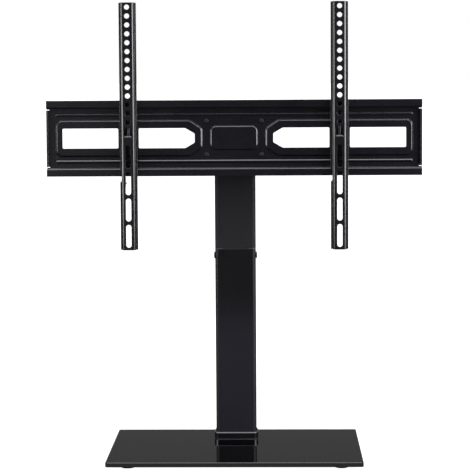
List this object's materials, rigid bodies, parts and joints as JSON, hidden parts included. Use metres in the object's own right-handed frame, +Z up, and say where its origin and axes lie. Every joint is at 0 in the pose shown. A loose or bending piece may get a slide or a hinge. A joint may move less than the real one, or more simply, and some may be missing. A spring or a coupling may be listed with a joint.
{
  "type": "television table stand with a height-adjustable column, swivel head and slotted mounting rails",
  "caption": "Table-top TV stand: black glass base, telescoping steel column, swivelling pressed cross plate and slotted hook-on rails.",
  "frame": {"origin": "the middle of the glass base's outline, on the floor plane under its feet", "axes": "+X runs along the cross plate to the right as seen from the television side, +Y points to the back of the stand, where the column stands, and +Z is up"},
  "size_m": [0.65, 0.28, 0.788],
  "materials": {
    "powder_coat": "black powder coat with a fine texture",
    "satin_coat": "satin black coat",
    "black_glass": "opaque black tempered glass with polished edges",
    "rubber": "black rubber",
    "nylon": "black nylon",
    "fastener_zinc": "black zinc plate"
  },
  "bodies": {
    "root": {"glass_base": "black_glass", "foot_front_left": "rubber", "foot_front_right": "rubber", "foot_rear_left": "rubber", "foot_rear_right": "rubber", "clamp_plate": "powder_coat", "clamp_gasket": "rubber", "base_gasket": "rubber", "base_bolt_front_left": "fastener_zinc", "base_bolt_front_right": "fastener_zinc", "base_bolt_rear_left": "fastener_zinc", "base_bolt_rear_right": "fastener_zinc", "glass_bush_front_left": "nylon", "glass_bush_front_right": "nylon", "glass_bush_rear_left": "nylon", "glass_bush_rear_right": "nylon", "lower_post": "powder_coat", "foot_collar": "powder_coat", "post_liner": "nylon", "height_bolt_left": "fastener_zinc", "height_bolt_right": "fastener_zinc", "height_nut_left": "fastener_zinc", "height_nut_right": "fastener_zinc"},
    "column_upper": {"inner_post": "powder_coat", "upper_post": "satin_coat", "post_cap": "nylon", "head_bracket": "powder_coat", "head_bolt_upper_left": "fastener_zinc", "head_bolt_upper_right": "fastener_zinc", "head_bolt_lower_left": "fastener_zinc", "head_bolt_lower_right": "fastener_zinc"},
    "head": {"swivel_bracket": "powder_coat", "cross_plate": "powder_coat", "plate_rivet_upper_left": "powder_coat", "plate_rivet_upper_right": "powder_coat", "plate_rivet_lower_left": "powder_coat", "plate_rivet_lower_right": "powder_coat", "pivot_bolt": "fastener_zinc", "pivot_nut": "fastener_zinc", "pivot_sleeve": "fastener_zinc", "pivot_washer_top": "nylon", "pivot_washer_bottom": "nylon"},
    "rail_left": {"rail_left": "powder_coat", "lock_screw_left": "fastener_zinc"},
    "rail_right": {"rail_right": "powder_coat", "lock_screw_right": "fastener_zinc"}
  },
  "joints": [
    {"name": "column_height", "type": "slide", "parent": "root", "child": "column_upper", "axis": [0, 0, 1], "range_m": [0, 0.08]},
    {"name": "head_swivel", "type": "hinge", "parent": "column_upper", "child": "head", "pos_m": [0, 0.026, 0.5545], "axis": [0, 0, 1], "range_deg": [-30, 30]},
    {"name": "rail_left_slide", "type": "slide", "parent": "head", "child": "rail_left", "axis": [1, 0, 0], "range_m": [-0.1177, 0.0823]},
    {"name": "rail_right_slide", "type": "slide", "parent": "head", "child": "rail_right", "axis": [1, 0, 0], "range_m": [-0.0823, 0.1177]}
  ]
}
